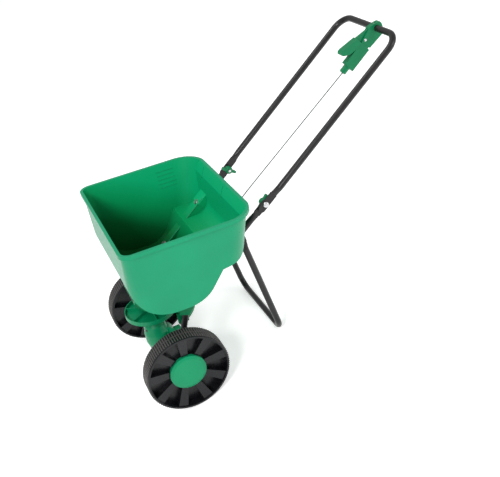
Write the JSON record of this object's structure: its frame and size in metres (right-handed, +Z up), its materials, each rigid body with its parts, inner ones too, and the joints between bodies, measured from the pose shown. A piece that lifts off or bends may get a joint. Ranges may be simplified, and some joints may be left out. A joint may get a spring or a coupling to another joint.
{
  "type": "garden spreader",
  "caption": "Walk-behind garden spreader: tapered open hopper on bent tubes, two spoked wheels, geared spinning disc, U stand and folding U handle with a squeeze trigger.",
  "frame": {"origin": "middle of the ground footprint, on the floor, with both wheels and the stand bar down", "axes": "+Z up, +Y towards the push handle's crossbar, +X towards the operator's left wheel"},
  "size_m": [0.488, 1.1052, 0.6814],
  "materials": {
    "green_plastic": "smooth moulded",
    "black_plastic": "smooth moulded",
    "white_plastic": "smooth moulded",
    "wheel_plastic": "satin moulded",
    "dark_tube": "satin powder coat",
    "zinc": "zinc plated",
    "spring_wire": "drawn wire",
    "cable_sheath": "smooth sheath"
  },
  "bodies": {
    "chassis": {"hopper": "green_plastic", "hopper_bolts": "zinc", "frame_tube_left": "dark_tube", "frame_tube_right": "dark_tube", "frame_saddles": "green_plastic", "stand": "dark_tube", "stand_bolts": "zinc", "carriage_bolt_left": "zinc", "carriage_bolt_right": "zinc", "shutoff_guides": "green_plastic", "drop_chute": "green_plastic", "gear_case_left": "green_plastic", "gear_case_right": "green_plastic", "gear_case_screws": "zinc", "case_strut": "dark_tube", "rear_deflector": "green_plastic", "axle_bush_left": "white_plastic", "axle_bush_right": "white_plastic", "cable_lower": "cable_sheath"},
    "push_handle": {"handle": "dark_tube", "trigger_bracket": "green_plastic", "trigger_clamp": "green_plastic", "trigger_screws": "zinc", "trigger_pin": "zinc", "trigger_spring": "spring_wire", "cable_adjuster": "green_plastic", "cable_upper": "cable_sheath"},
    "trigger": {"trigger_lever": "green_plastic"},
    "left_wing_nut": {"wing_nut_left": "green_plastic"},
    "right_wing_nut": {"wing_nut_right": "green_plastic"},
    "drive": {"axle": "zinc", "drive_pin": "zinc", "axle_gear": "white_plastic", "axle_spacers": "black_plastic", "push_nuts": "zinc", "wheel_right": "wheel_plastic", "hub_cap_right": "green_plastic"},
    "free_wheel": {"wheel_left": "wheel_plastic", "hub_cap_left": "green_plastic"},
    "spinner": {"impeller": "green_plastic", "spinner_shaft": "zinc", "agitator": "black_plastic", "agitator_pin": "zinc", "spinner_gear": "white_plastic"},
    "shutter": {"shutoff_plate": "zinc", "pull_wire": "spring_wire"}
  },
  "joints": [
    {"name": "handle_fold", "type": "hinge", "parent": "chassis", "child": "push_handle", "pos_m": [0, 0.00096, 0.42836], "axis": [1, 0, 0], "range_deg": [0, 90]},
    {"name": "trigger_pull", "type": "hinge", "parent": "push_handle", "child": "trigger", "pos_m": [0.03, 0.48908, 0.65228], "axis": [1, 0, 0], "range_deg": [0, 12], "stiffness_Nm_per_rad": 0.6, "springref_deg": -17.19},
    {"name": "wing_nut_left_turn", "type": "hinge", "parent": "chassis", "child": "left_wing_nut", "pos_m": [0.13, 0.00096, 0.42836], "axis": [1, 0, 0], "continuous": true},
    {"name": "wing_nut_right_turn", "type": "hinge", "parent": "chassis", "child": "right_wing_nut", "pos_m": [-0.13, 0.00096, 0.42836], "axis": [1, 0, 0], "continuous": true},
    {"name": "drive_spin", "type": "hinge", "parent": "chassis", "child": "drive", "pos_m": [0, -0.42764, 0.125], "axis": [1, 0, 0], "continuous": true},
    {"name": "free_wheel_spin", "type": "hinge", "parent": "drive", "child": "free_wheel", "pos_m": [0.197, -0.42764, 0.125], "axis": [1, 0, 0], "continuous": true},
    {"name": "impeller_spin", "type": "hinge", "parent": "chassis", "child": "spinner", "pos_m": [0, -0.42778, 0.22832], "axis": [0, 0.2503, 0.9682], "continuous": true},
    {"name": "shutter_slide", "type": "slide", "parent": "chassis", "child": "shutter", "axis": [0, 0.9682, -0.2503], "range_m": [0, 0.0042]}
  ],
  "couplings": [
    {"joint": "impeller_spin", "follows": "drive_spin", "ratio": 3},
    {"joint": "shutter_slide", "follows": "trigger_pull", "m_per_rad": 0.02}
  ]
}
